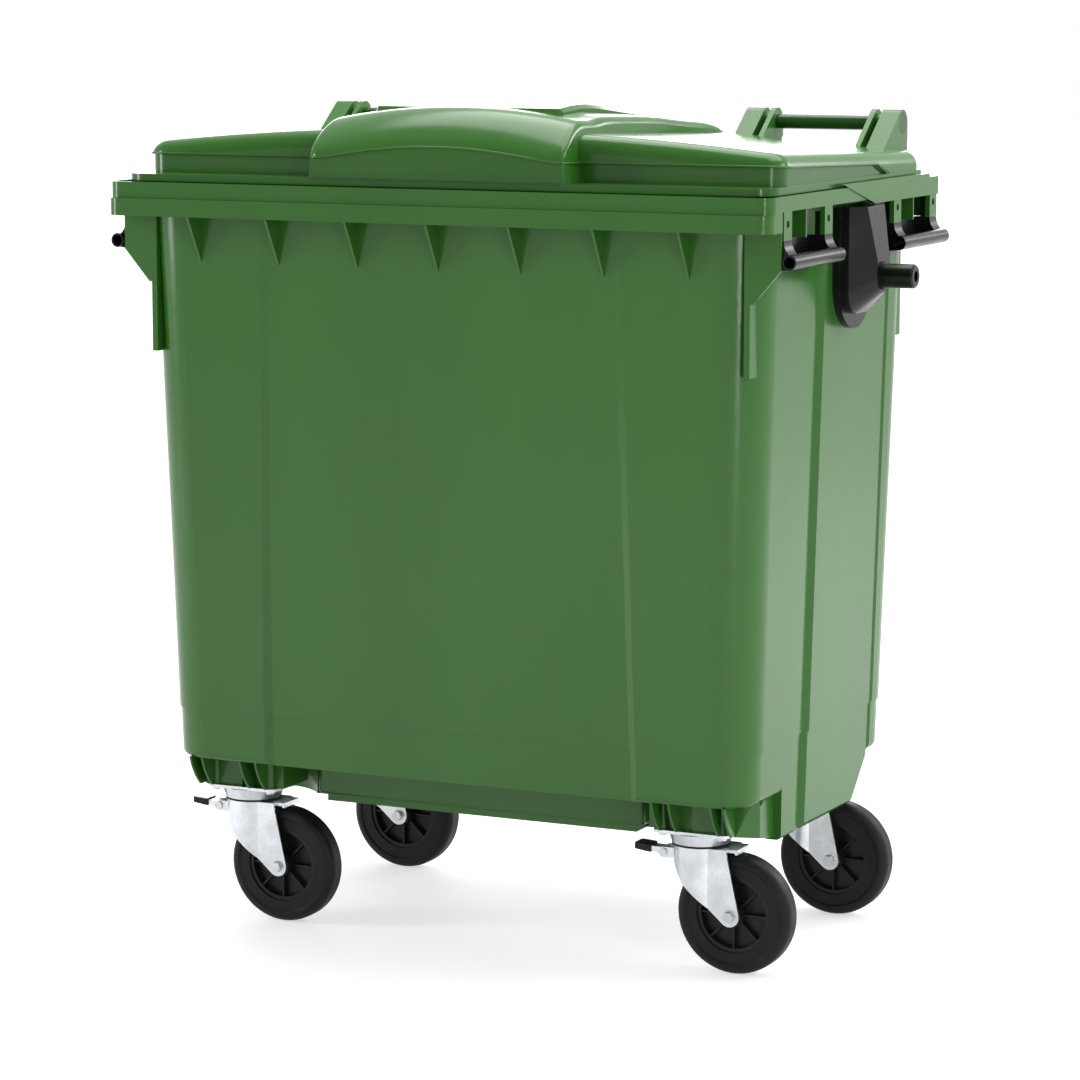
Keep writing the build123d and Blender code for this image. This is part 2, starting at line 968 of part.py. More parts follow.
def hood_form(inset):
    with BuildPart() as form:
        for share, height_share, crown_share, tuck_share in hood_shares:
            place = mix(hood_front + inset, hood_rear - inset, share)
            side = hood_base + hood_height * height_share - inset
            low_half = hood_half - inset - hood_corner * tuck_share
            width = low_half - hood_draft * height_share
            crown = hood_crown * crown_share
            with BuildSketch(Plane.XZ.offset(-place)):
                with BuildLine():
                    base = hood_base - overrun
                    wall = Line((low_half, base), (width, side - hood_corner))
                    bend = TangentArc(wall @ 1, (width - hood_corner, side), tangent=wall % 1)
                    top = ThreePointArc(bend @ 1, (0, side + crown), (hood_corner - width, side))
                    lean = wall % 1
                    other = TangentArc((-width, side - hood_corner), top @ 1, tangent=(-lean.X, lean.Y))
                    Line(other @ 0, (-low_half, base))
                    Line((-low_half, base), (low_half, base))
                make_face()
        loft()
        with BuildSketch(Plane.XY.offset(hood_base - 2 * overrun)):
            Rectangle(2 * rim_width, 2 * rim_depth)
        extrude(amount=2 * overrun, mode=Mode.SUBTRACT)
    return form.part


def hood_pad():
    fall = pad_top - hood_base - hood_height * hood_shares[-3][1]
    with BuildPart() as pad:
        with BuildSketch(Plane.YZ.offset(-pad_half)):
            with BuildLine():
                points = []
                for share, drop_share in pad_shares:
                    points.append((mix(pad_front, pad_rear, share), pad_top - fall * drop_share))
                Polyline(
                    points[-1],
                    (pad_rear, hood_base + hood_lower_recess),
                    (pad_front + hood_lower_recess, hood_base + hood_lower_recess),
                    (pad_front, pad_top - 2 * pad_lean),
                    (pad_front + pad_lean, pad_top - pad_lean / 2),
                    points[0],
                )
                Spline(*points)
            make_face()
        extrude(amount=2 * pad_half)
        long_edges = pad.faces().filter_by(Axis.X).edges()
        chamfer(long_edges.filter_by(lambda edge: edge.center().Z > pad_top - fall), pad_corner)
    return pad.part


def hinge_blocks():
    outer, slot, cheek, inner = handle_layers()
    with BuildPart() as blocks:
        for side in (-1, 1):
            for end in (-1, 1):
                for near, far in ((slot, outer), (inner, cheek)):
                    centre = side * (handle_centre + end * (near + far) / 2)
                    with BuildSketch(Plane.YZ.offset(centre - (far - near) / 2)):
                        with Locations((axis_y, axis_z)):
                            Circle(block_radius)
                        with Locations(((block_front + lip_rear) / 2, block_base - lip_wall)):
                            Rectangle(lip_rear - block_front, 2 * lip_wall)
                        make_hull()
                    extrude(amount=far - near)
    return blocks.part


def lid_cuts():
    outer, slot, cheek, inner = handle_layers()
    cuts = []
    for place in lug_places():
        with BuildPart() as notch:
            with BuildSketch(Plane.YZ.offset(place - slot_width / 2)):
                front = min(lug_front, axis_y - lug_radius) - 2 * clearance
                with Locations((front + rim_depth / 2, axis_z)):
                    Rectangle(rim_depth, rim_depth)
            extrude(amount=slot_width)
        cuts.append(notch.part)
    for side in (-1, 1):
        with BuildPart() as bore:
            with BuildSketch(Plane.YZ.offset(side * handle_centre - outer + cap_seat)):
                with Locations((axis_y, axis_z)):
                    Circle(tube_radius + tube_fit)
            extrude(amount=2 * (outer - cap_seat))
            for end in (-1, 1):
                low = side * handle_centre + end * (outer - cap_wall / 2) - cap_wall / 2
                with BuildSketch(Plane.YZ.offset(low)):
                    with Locations((axis_y, axis_z)):
                        Circle(cap_radius)
                extrude(amount=cap_wall)
        cuts.append(bore.part)
    return cuts


def make_lid():
    lid_low = rim_top + lid_gap
    lip_top = lid_low + lip_wall
    bead_plane = tilted_plane(bead_front, bead_rear)
    with BuildPart() as recess:
        add(below_plane(bead_plane, lip_top))
        with BuildSketch(Plane.YZ.offset(-rim_width)):
            with BuildLine():
                Polyline(
                    (-rim_depth, lid_low),
                    (notch_low, lid_low),
                    (notch_low, lip_top),
                    (notch_high, bead_front),
                    (-rim_depth, bead_front),
                    close=True,
                )
            make_face()
        extrude(amount=2 * rim_width, mode=Mode.INTERSECT)
        wall_line = ring_sketch(
            dome_half - bead_proud, dome_front + bead_proud, dome_rear, dome_radius - bead_proud, lid_low
        )
        add(wall_line)
        extrude(amount=dome_top_front - lid_low, mode=Mode.SUBTRACT)
    with BuildPart() as lid:
        add(dome_prism(0, lid_low, 0, dome_edge))
        add(recess.part, mode=Mode.SUBTRACT)
        add(hood_form(0))
        with BuildSketch(Plane.XZ.offset(-hood_front - hood_lower_recess)):
            with BuildLine():
                wave = Spline(
                    (-hood_half, wave_end),
                    (-wave_shoulder_half, wave_shoulder),
                    (-wave_flank_half, wave_flank),
                    (0, wave_peak),
                    (wave_flank_half, wave_flank),
                    (wave_shoulder_half, wave_shoulder),
                    (hood_half, wave_end),
                    tangents=((1, 0), (1, 0)),
                )
                Polyline(wave @ 1, (hood_half, lip_top), (-hood_half, lip_top), wave @ 0)
            make_face()
        extrude(amount=2 * hood_lower_recess, mode=Mode.SUBTRACT)
        add(hood_pad())
        add(ring_sketch(lip_half, lip_front, lip_rear, lip_radius, lid_low))
        extrude(amount=lip_wall)
        add(hinge_blocks())
        with BuildPart(mode=Mode.PRIVATE) as hollow:
            inner = lid_wall + bead_proud
            add(dome_prism(inner, lid_low - overrun, lid_wall, dome_edge - lid_wall))
            add(hood_form(inner))
            with BuildSketch(Plane.XY.offset(lid_low - overrun)):
                Rectangle(2 * (hood_half - 2 * lid_wall), -2 * (hood_front + lid_wall + 2 * hood_lower_recess))
            extrude(amount=2 * overrun + lip_wall / 2)
        add(hollow.part, mode=Mode.SUBTRACT)
        lip_inner = ring_sketch(
            lip_half - lid_wall, lip_front + lid_wall, lip_rear - lid_wall, lip_radius - lid_wall, lid_low
        )
        add(lip_inner)
        extrude(amount=lip_wall - lid_wall, mode=Mode.SUBTRACT)
        for cut in lid_cuts():
            add(cut, mode=Mode.SUBTRACT)
        with BuildSketch(Plane.XY.offset(lid_low)):
            with Locations((0, axis_y + rim_depth / 2)):
                Rectangle(2 * rim_width, rim_depth)
        extrude(amount=rear_swing_cut, mode=Mode.SUBTRACT)
    return lid.part


def make_hinge_tube(side):
    outer, slot, cheek, inner = handle_layers()
    reach = outer - cap_seat - clearance
    with BuildPart() as tube:
        with BuildSketch(Plane.YZ.offset(side * handle_centre - reach)):
            with Locations((axis_y, axis_z)):
                Circle(tube_radius)
                Circle(tube_bore, mode=Mode.SUBTRACT)
        extrude(amount=2 * reach)
    return tube.part


def make_hinge_caps():
    outer, slot, cheek, inner = handle_layers()
    with BuildPart() as caps:
        for side in (-1, 1):
            for end in (-1, 1):
                low = side * handle_centre + end * (outer - cap_wall / 2) - cap_wall / 2
                with BuildSketch(Plane.YZ.offset(low)):
                    with Locations((axis_y, axis_z)):
                        Circle(cap_radius)
                extrude(amount=cap_wall)
    return caps.part


def boss_section(place, half, bottom, corner):
    # A section of the boss, carried on above the plate's top so that only its lower corners are round.
    top = plate_top + 2 * boss_corner
    with BuildSketch(Plane.YZ.offset(place)) as section:
        with Locations((pin_y, (bottom + top) / 2)):
            RectangleRounded(2 * half, top - bottom, corner)
    return section.sketch


def make_trunnion_plate():
    boss_lean = Plane(
        origin=(boss_end, pin_y, boss_lean_start),
        x_dir=(0, 1, 0),
        z_dir=(plate_top - boss_lean_start, 0, boss_end - boss_lean_top),
    )
    with BuildPart() as boss:
        for place in (plate_face, boss_shoulder):
            add(boss_section(place, boss_half, boss_bottom, boss_corner))
        loft(ruled=True)
        add(boss_section(boss_shoulder, boss_half, boss_bottom, boss_corner))
        corner = boss_end_radius - clearance
        add(boss_section(boss_end, boss_end_radius, pin_z - boss_end_radius, corner))
        loft()
        with BuildSketch(Plane.XY.offset(plate_top)):
            with Locations((plate_face, pin_y)):
                Rectangle(4 * boss_half, 4 * boss_half)
        extrude(amount=4 * boss_corner, mode=Mode.SUBTRACT)
        split(bisect_by=boss_lean, keep=Keep.BOTTOM)
    with BuildPart() as plate:
        add(plate_outline(plate_seat, plate_face))
        add(boss.part)
        with BuildSketch(Plane.YZ.offset(pin_root)):
            with Locations((pin_y, pin_z)):
                Circle(pin_radius)
        extrude(amount=boss_end - pin_root, mode=Mode.SUBTRACT)
        add(bolt_holes(plate_seat, trunnion_bolt_tip), mode=Mode.SUBTRACT)
    return plate.part


def make_trunnion_pin():
    with BuildPart() as pin:
        with BuildSketch(Plane.YZ.offset(pin_root)):
            with Locations((pin_y, pin_z)):
                Circle(pin_radius)
        extrude(amount=pin_span / 2 - pin_root)
        with BuildSketch(Plane.YZ.offset(boss_end)):
            with Locations((pin_y, pin_z)):
                Circle(pin_collar_radius)
        extrude(amount=pin_collar)
        chamfer(pin.faces().sort_by(Axis.X)[-1].edges(), pin_end_chamfer)
        with BuildSketch(Plane.YZ.offset(pin_span / 2 - pin_end_depth)):
            with Locations((pin_y, pin_z)):
                Circle(pin_end_bore)
        extrude(amount=pin_end_depth, mode=Mode.SUBTRACT)
    return pin.part


def make_trunnion_bolts():
    with BuildPart() as bolts:
        with BuildSketch(Plane.YZ.offset(trunnion_bolt_seat - trunnion_bolt_head_height)):
            with Locations(*bolt_places()):
                RegularPolygon(trunnion_bolt_head, 6)
        extrude(amount=trunnion_bolt_head_height)
        with BuildSketch(Plane.YZ.offset(trunnion_bolt_seat)):
            with Locations(*bolt_places()):
                Circle(trunnion_bolt_radius)
        extrude(amount=trunnion_bolt_tip - trunnion_bolt_seat)
    return Compound(children=bolts.part.solids() + bolts.part.mirror(Plane.YZ).solids())


def make_grip(centre):
    outer = rim_width / 2
    hole_z = rim_top - post_hole_drop
    with BuildPart() as grip:
        for end in (-1, 1):
            place = centre + end * post_pitch / 2
            with BuildSketch(Plane.XZ.offset(-place - post_width / 2)):
                with BuildLine():
                    curve = ThreePointArc(
                        (outer, post_bottom - clearance),
                        (outer + grip_bar_radius / 4, (post_bottom + grip_bar_z) / 2 + grip_bar_radius / 4),
                        (grip_bar_x + grip_bar_radius / 2, grip_bar_z + grip_bar_radius / 2),
                    )
                    Polyline(
                        curve @ 1,
                        (grip_bar_x, grip_bar_z - grip_bar_radius),
                        (grip_seat, grip_base),
                        (grip_seat, post_bottom - clearance),
                        curve @ 0,
                    )
                make_face()
            extrude(amount=post_width)
            tab_outer = outer - post_wall
            with BuildSketch(Plane.YZ.offset(tab_outer - grip_tab_wall)):
                with Locations((place, (grip_tab_top + grip_base) / 2)):
                    Rectangle(post_width, grip_tab_top - grip_base)
            extrude(amount=grip_tab_wall)
        with BuildSketch(Plane.YZ.offset(grip_seat)):
            with Locations((centre, (grip_base + post_bottom - clearance) / 2)):
                Rectangle(post_pitch, post_bottom - clearance - grip_base)
        extrude(amount=grip_back_wall)
        with BuildSketch(Plane.XZ.offset(-centre - grip_bar_end)):
            with Locations((grip_bar_x, grip_bar_z)):
                Circle(grip_bar_radius)
        extrude(amount=grip_bar_front + grip_bar_end)
        with BuildSketch(Plane.XZ.offset(-centre - grip_bar_end)):
            with Locations((grip_bar_x, grip_bar_z)):
                Circle(grip_bar_bore)
        extrude(amount=grip_bar_front + grip_bar_end, mode=Mode.SUBTRACT)
        with BuildSketch(Plane.YZ.offset(outer - post_wall - screw_length)):
            for end in (-1, 1):
                with Locations((centre + end * post_pitch / 2, hole_z)):
                    Circle(screw_radius)
        extrude(amount=screw_length, mode=Mode.SUBTRACT)
    return grip.part


def make_grip_screws():
    outer = rim_width / 2
    hole_z = rim_top - post_hole_drop
    with BuildPart() as screws:
        for place in post_places():
            with BuildSketch(Plane.YZ.offset(outer - post_wall)):
                with Locations((place, hole_z)):
                    Circle(screw_head_radius)
            extrude(amount=screw_head)
            with BuildSketch(Plane.YZ.offset(outer - post_wall - grip_tab_wall)):
                with Locations((place, hole_z)):
                    Circle(screw_radius)
            extrude(amount=grip_tab_wall)
    return Compound(children=screws.part.solids() + screws.part.mirror(Plane.YZ).solids())


def mount_bolt_points():
    return [(i * mount_bolt_x, j * mount_bolt_y) for i in (-1, 1) for j in (-1, 1)]


def make_mounting_plate():
    with BuildPart() as plate:
        with BuildSketch(Plane.XY.offset(seat_height - mount_wall)):
            RectangleRounded(2 * mount_half_x, 2 * mount_half_y, mount_corner)
            with Locations(*mount_bolt_points()):
                Circle(bolt_radius, mode=Mode.SUBTRACT)
        extrude(amount=mount_wall)
        with BuildSketch(Plane.XY.offset(race_flare_low)):
            Circle(seal_ring_radius)
        with BuildSketch(Plane.XY.offset(seat_height - mount_wall)):
            Circle(race_flare)
        loft(ruled=True)
        with BuildSketch(Plane.XY.offset(crown_top + clearance)):
            Circle(race_radius)
        extrude(amount=race_flare_low - crown_top - clearance)
        with BuildSketch(Plane.XY.offset(crown_top - overrun)):
            Circle(kingpin_radius)
        extrude(amount=2 * overrun, mode=Mode.SUBTRACT)
    return plate.part


def make_plate_bolts():
    with BuildPart() as bolts:
        with BuildSketch(Plane.XY.offset(seat_height - mount_wall - bolt_head)):
            with Locations(*mount_bolt_points()):
                RegularPolygon(bolt_head_radius, 6)
        extrude(amount=bolt_head)
        with BuildSketch(Plane.XY.offset(seat_height - mount_wall)):
            with Locations(*mount_bolt_points()):
                Circle(bolt_radius)
        extrude(amount=mount_wall + bolt_length)
    return bolts.part


def make_kingpin():
    with BuildPart() as kingpin:
        low = crown_top - crown_wall - clearance
        with BuildSketch(Plane.XY.offset(low)):
            Circle(kingpin_radius)
        extrude(amount=seat_height - low)
        with BuildSketch(Plane.XY.offset(low - kingpin_head_height)):
            RegularPolygon(kingpin_head, 6)
        extrude(amount=kingpin_head_height)
    return kingpin.part


def make_swivel_seal():
    with BuildPart() as seal:
        with BuildSketch(Plane.XY.offset(crown_top + clearance)):
            Circle(seal_ring_radius)
            Circle(race_radius, mode=Mode.SUBTRACT)
        extrude(amount=seal_ring_height)
    return seal.part


def make_fork(braked):
    reach = fork_half + fork_wall
    with BuildPart() as fork:
        with BuildSketch(Plane.XZ.offset(-crown_radius)):
            with BuildLine():
                Polyline(
                    (-crown_radius, crown_top),
                    (leg_rear, crown_top),
                    (leg_rear, skirt_rear_low),
                    (skirt_knee_x, skirt_knee_z),
                    (-crown_radius, skirt_front_low),
                    close=True,
                )
            make_face()
            with Locations((trail, wheel_radius)):
                Circle(leg_bottom_radius)
            make_hull()
        extrude(amount=2 * crown_radius)
        with BuildSketch(Plane.XY):
            Circle(crown_radius)
            with Locations((wheel_radius / 2, 0)):
                Rectangle(wheel_radius, 2 * reach)
        extrude(amount=crown_top, mode=Mode.INTERSECT)
        with BuildSketch(Plane.XY):
            Circle(crown_radius - fork_wall)
            with Locations((wheel_radius / 2, 0)):
                Rectangle(wheel_radius, 2 * fork_half)
        extrude(amount=crown_top - crown_wall, mode=Mode.SUBTRACT)
        with BuildSketch(Plane.XY.offset(crown_top - crown_wall)):
            with Locations((tab_reach / 2, 0)):
                Rectangle(tab_reach, 2 * tab_half)
        extrude(amount=crown_wall)
        with BuildSketch(Plane.XY.offset(crown_top - tab_lip)):
            with Locations((tab_reach - fork_wall / 2, 0)):
                Rectangle(fork_wall, 2 * tab_half)
        extrude(amount=tab_lip)
        with BuildSketch(Plane.XY.offset(crown_top - crown_wall)):
            Circle(kingpin_radius + kingpin_fit)
        extrude(amount=crown_wall, mode=Mode.SUBTRACT)
        with BuildSketch(Plane.XZ.offset(-reach)):
            with Locations((trail, wheel_radius)):
                Circle(axle_radius)
        extrude(amount=2 * reach, mode=Mode.SUBTRACT)
        if braked:
            for end in (-1, 1):
                middle = end * (lever_half + clearance + lever_ear_wall / 2)
                with BuildSketch(Plane.XZ.offset(-middle - lever_ear_wall / 2)):
                    with Locations((lever_pivot_x, lever_pivot_z)):
                        Circle(lever_ear_radius)
                    with Locations((-crown_radius + fork_wall, lever_pivot_z)):
                        Rectangle(fork_wall, 2 * lever_ear_radius)
                    make_hull()
                    with Locations((lever_pivot_x, lever_pivot_z)):
                        Circle(pivot_radius, mode=Mode.SUBTRACT)
                extrude(amount=lever_ear_wall)
    return fork.part


def make_axle_bolt():
    reach = fork_half + fork_wall
    with BuildPart() as axle:
        with BuildSketch(Plane.XZ.offset(-reach)):
            with Locations((trail, wheel_radius)):
                Circle(axle_radius)
        extrude(amount=2 * reach)
        with BuildSketch(Plane.XZ.offset(-reach - axle_head)):
            with Locations((trail, wheel_radius)):
                RegularPolygon(axle_head_radius, 6)
        extrude(amount=axle_head)
        with BuildSketch(Plane.XZ.offset(reach)):
            with Locations((trail, wheel_radius)):
                RegularPolygon(axle_head_radius, 6)
        extrude(amount=axle_end)
    return axle.part


def wheel_plane(offset):
    return Plane(origin=(trail, offset, wheel_radius), x_dir=(1, 0, 0), z_dir=(0, -1, 0))


def make_axle_sleeve():
    with BuildPart() as sleeve:
        with BuildSketch(wheel_plane(fork_half)):
            Circle(sleeve_radius)
            Circle(axle_radius, mode=Mode.SUBTRACT)
        extrude(amount=2 * fork_half)
    return sleeve.part


def make_wheel_rim():
    with BuildPart() as rim:
        with BuildSketch(wheel_plane(rim_flange_half)):
            Circle(tyre_inner)
            Circle(rim_well, mode=Mode.SUBTRACT)
        extrude(amount=2 * rim_flange_half)
        with BuildSketch(wheel_plane(rim_web_half)):
            Circle(rim_well)
        extrude(amount=2 * rim_web_half)
        with BuildSketch(wheel_plane(wheel_hub_half)):
            Circle(wheel_hub)
        extrude(amount=2 * wheel_hub_half)
        with BuildSketch(wheel_plane(rim_flange_half - rim_web_half / 2)):
            with PolarLocations((rim_well + wheel_hub) / 2, wheel_ribs):
                Rectangle(rim_well - wheel_hub + wheel_rib, wheel_rib)
        extrude(amount=2 * rim_flange_half - rim_web_half)
        with BuildSketch(wheel_plane(wheel_hub_half)):
            Circle(sleeve_radius + bearing_fit)
        extrude(amount=2 * wheel_hub_half, mode=Mode.SUBTRACT)
    return rim.part


def make_tyre():
    with BuildPart() as tyre:
        with BuildSketch(Plane.XY):
            with BuildLine():
                edge = wheel_radius - tread_radius
                low = Line((tyre_inner, -wheel_half + tyre_step_depth), (tyre_step, -wheel_half + tyre_step_depth))
                rise = Line(low @ 1, (tyre_step + tyre_step_depth, -wheel_half))
                wall = Line(rise @ 1, (edge, -wheel_half))
                bend = TangentArc(wall @ 1, (wheel_radius, -wheel_half + tread_radius), tangent=wall % 1)
                Line(bend @ 1, (wheel_radius, 0))
                mirror(about=Plane.XZ)
                Line((tyre_inner, -wheel_half + tyre_step_depth), (tyre_inner, wheel_half - tyre_step_depth))
            make_face()
        revolve(axis=Axis.Y)
    upright = tyre.part.moved(Location((trail, 0, wheel_radius)))
    return upright


def make_brake_lever():
    with BuildPart() as lever:
        with BuildSketch(Plane.XZ.offset(-lever_half)):
            with Locations((lever_pivot_x, lever_pivot_z)):
                Circle(lever_ear_radius - lever_wall / 2)
            with Locations((lever_reach, lever_pivot_z + lever_rise)):
                Circle(lever_wall / 2)
            make_hull()
            with Locations((lever_pivot_x, lever_pivot_z)):
                Circle(pivot_radius + pivot_fit, mode=Mode.SUBTRACT)
        extrude(amount=2 * lever_half)
    return lever.part


def make_brake_pedal(lever):
    slope = math.degrees(math.atan2(lever_rise, lever_pivot_x - lever_reach))
    with BuildPart() as pedal:
        with BuildSketch(Plane.XZ.offset(-pedal_half)):
            with BuildLine():
                low = lever_pivot_z + lever_rise - pedal_wall / 2
                top = low + pedal_wall
                Polyline(
                    (pedal_start, low - lever_wall / 2),
                    (pedal_end, low + lever_wall / 2),
                    (pedal_end, top),
                    (pedal_start, top - lever_wall / 2),
                    close=True,
                )
            make_face()
        extrude(amount=2 * pedal_half)
        fillet(pedal.edges().filter_by(Axis.Z), pedal_wall / 3)
        add(lever, mode=Mode.SUBTRACT)
    return pedal.part


def make_brake_pivot():
    reach = lever_half + clearance + lever_ear_wall
    with BuildPart() as pivot:
        with BuildSketch(Plane.XZ.offset(-reach)):
            with Locations((lever_pivot_x, lever_pivot_z)):
                Circle(pivot_radius)
        extrude(amount=2 * reach)
        for low in (-reach - pivot_head, reach):
            with BuildSketch(Plane.XZ.offset(low)):
                with Locations((lever_pivot_x, lever_pivot_z)):
                    Circle(pivot_head_radius)
            extrude(amount=pivot_head)
    return pivot.part


def save(shape, name):
    shape.label = name
    export_step(shape, f"parts/{name}.step")


# Tub, drain, lid and hinges
save(make_container_body(), "container_body")
save(make_drain_plug(), "drain_plug")
save(make_drain_seal(), "drain_seal")
save(make_lid(), "lid")
for name, side in (("left", -1), ("right", 1)):
    save(make_hinge_tube(side), f"hinge_tube_{name}")
save(make_hinge_caps(), "hinge_caps")

# Lifting pins
right_plate = make_trunnion_plate()
right_pin = make_trunnion_pin()
save(right_plate, "trunnion_plate_right")
save(right_plate.mirror(Plane.YZ), "trunnion_plate_left")
save(right_pin, "trunnion_pin_right")
save(right_pin.mirror(Plane.YZ), "trunnion_pin_left")
save(make_trunnion_bolts(), "trunnion_bolts")

# Side grips
for end, centre in (("front", front_grip), ("rear", rear_grip)):
    right_grip = make_grip(centre)
    save(right_grip, f"handle_right_{end}")
    save(right_grip.mirror(Plane.YZ), f"handle_left_{end}")
save(make_grip_screws(), "handle_screws")

# Castors
castor_pieces = {
    "mounting_plate": make_mounting_plate(),
    "plate_bolts": make_plate_bolts(),
    "kingpin": make_kingpin(),
    "swivel_seal": make_swivel_seal(),
    "axle_bolt": make_axle_bolt(),
    "axle_sleeve": make_axle_sleeve(),
    "wheel_rim": make_wheel_rim(),
    "tyre": make_tyre(),
}
brake_lever = make_brake_lever()
brake_pieces = {
    "brake_lever": brake_lever,
    "brake_pedal": make_brake_pedal(brake_lever),
    "brake_pivot": make_brake_pivot(),
}
for end, y in (("front", castor_front), ("rear", castor_rear)):
    braked = end == "front"
    pieces = dict(castor_pieces, fork=make_fork(braked))
    if braked:
        pieces.update(brake_pieces)
    for name, side in (("left", -1), ("right", 1)):
        place = Location((side * castor_x, y, 0))
        for piece, shape in pieces.items():
            save(shape.moved(place), f"{piece}_{end}_{name}")
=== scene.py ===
import json
import math
import bpy
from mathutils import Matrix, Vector


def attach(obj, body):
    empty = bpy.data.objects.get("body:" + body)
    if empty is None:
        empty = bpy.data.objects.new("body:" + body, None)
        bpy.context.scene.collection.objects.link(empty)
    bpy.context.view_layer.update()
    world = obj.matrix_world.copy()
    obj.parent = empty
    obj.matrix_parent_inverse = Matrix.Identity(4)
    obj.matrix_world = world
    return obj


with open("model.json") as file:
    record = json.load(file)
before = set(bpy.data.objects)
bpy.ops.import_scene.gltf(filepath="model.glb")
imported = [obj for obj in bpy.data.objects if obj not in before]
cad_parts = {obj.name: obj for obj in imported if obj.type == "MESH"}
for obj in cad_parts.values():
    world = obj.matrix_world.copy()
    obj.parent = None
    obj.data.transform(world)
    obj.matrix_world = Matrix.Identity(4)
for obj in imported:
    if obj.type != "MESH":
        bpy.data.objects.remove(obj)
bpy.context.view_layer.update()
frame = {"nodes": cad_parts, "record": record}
nodes = frame["nodes"]


# Materials

class Shader:
    """A node material: a principled shader with helpers for the textures that feed it."""

    def __init__(self, name):
        self.material = bpy.data.materials.new(name)
        self.material.use_nodes = True
        self.tree = self.material.node_tree
        self.surface = self.tree.nodes["Principled BSDF"]
        self.place = self.tree.nodes.new("ShaderNodeTexCoord").outputs["Object"]

    def link(self, source, target):
        self.tree.links.new(source, target)

    def stretched(self, scale):
        node = self.tree.nodes.new("ShaderNodeMapping")
        node.inputs["Scale"].default_value = scale
        self.link(self.place, node.inputs["Vector"])
        return node.outputs["Vector"]

    def noise(self, scale, detail=2.0, rough=0.5, stretch=(1, 1, 1)):
        node = self.tree.nodes.new("ShaderNodeTexNoise")
        node.inputs["Scale"].default_value = scale
        node.inputs["Detail"].default_value = detail
        node.inputs["Roughness"].default_value = rough
        self.link(self.stretched(stretch), node.inputs["Vector"])
        return node.outputs["Fac"]

    def cells(self, scale):
        node = self.tree.nodes.new("ShaderNodeTexVoronoi")
        node.inputs["Scale"].default_value = scale
        self.link(self.stretched((1, 1, 1)), node.inputs["Vector"])
        return node.outputs["Color"]

    def spread(self, value, low_in, high_in, low, high):
        node = self.tree.nodes.new("ShaderNodeMapRange")
        self.link(value, node.inputs["Value"])
        node.inputs["From Min"].default_value = low_in
        node.inputs["From Max"].default_value = high_in
        node.inputs["To Min"].default_value = low
        node.inputs["To Max"].default_value = high
        return node.outputs["Result"]

    def blend(self, amount, first, second):
        node = self.tree.nodes.new("ShaderNodeMix")
        node.data_type = "RGBA"
        self.link(amount, node.inputs["Factor"])
        for socket, colour in ((node.inputs[6], first), (node.inputs[7], second)):
            if isinstance(colour, tuple):
                socket.default_value = colour + (1.0,)
            else:
                self.link(colour, socket)
        return node.outputs[2]

    def total(self, first, second):
        node = self.tree.nodes.new("ShaderNodeMath")
        node.operation = "ADD"
        self.link(first, node.inputs[0])
        self.link(second, node.inputs[1])
        return node.outputs["Value"]

    def scaled(self, value, factor):
        node = self.tree.nodes.new("ShaderNodeMath")
        node.operation = "MULTIPLY"
        self.link(value, node.inputs[0])
        node.inputs[1].default_value = factor
        return node.outputs["Value"]

    def colour(self, source):
        self.link(source, self.surface.inputs["Base Color"])

    def roughness(self, source):
        self.link(source, self.surface.inputs["Roughness"])

    def relief(self, height, depth, strength):
        node = self.tree.nodes.new("ShaderNodeBump")
        node.inputs["Strength"].default_value = strength
        node.inputs["Distance"].default_value = depth
        self.link(height, node.inputs["Height"])
        self.link(node.outputs["Normal"], self.surface.inputs["Normal"])

    def fixed(self, **values):
        for name, value in values.items():
            self.surface.inputs[name.replace("_", " ")].default_value = value


def moulded_green(name, deep, light, streak=(1, 1, 0.12)):
    """Moulded polyethylene: a faint flow pattern, fine grain and a soft gloss."""
    s = Shader(name)
    flow = s.noise(3.1, 3, 0.55, streak)
    cloud = s.noise(9, 4, 0.6)
    grain = s.noise(900, 2, 0.6)
    tone = s.blend(s.spread(flow, 0.35, 0.65, 0, 1), deep, light)
    speck = s.spread(grain, 0.3, 0.7, 0, 0.22)
    s.colour(s.blend(speck, tone, tuple(0.78 * v for v in light)))
    s.roughness(s.total(s.spread(cloud, 0.3, 0.7, 0.16, 0.21), s.spread(grain, 0.3, 0.7, -0.02, 0.03)))
    slow = s.scaled(s.noise(14, 2, 0.5), 3.0)
    s.relief(s.total(grain, slow), 0.00006, 0.5)
    s.fixed(Specular_IOR_Level=0.42)
    return s.material


def moulded_black(name, base, rough, grain_scale=700):
    """Black moulded plastic with a fine spark-eroded grain."""
    s = Shader(name)
    grain = s.noise(grain_scale, 3, 0.6)
    cloud = s.noise(11, 3, 0.55)
    lighter = tuple(2.0 * v for v in base)
    s.colour(s.blend(s.spread(cloud, 0.3, 0.7, 0, 0.7), base, lighter))
    s.roughness(s.total(s.spread(cloud, 0.3, 0.7, rough - 0.05, rough + 0.07),
                        s.spread(grain, 0.3, 0.7, -0.04, 0.04)))
    s.relief(grain, 0.00005, 0.6)
    s.fixed(Specular_IOR_Level=0.3)
    return s.material


def rubber(name, base, rough):
    """Matt rubber with a dry bloom and a fine uneven skin."""
    s = Shader(name)
    grain = s.noise(420, 4, 0.65)
    bloom = s.noise(26, 4, 0.6)
    lighter = tuple(2.3 * v for v in base)
    s.colour(s.blend(s.spread(bloom, 0.42, 0.72, 0, 0.6), base, lighter))
    s.roughness(s.spread(bloom, 0.3, 0.7, rough - 0.07, rough + 0.08))
    s.relief(grain, 0.00018, 0.7)
    s.fixed(Specular_IOR_Level=0.25)
    return s.material


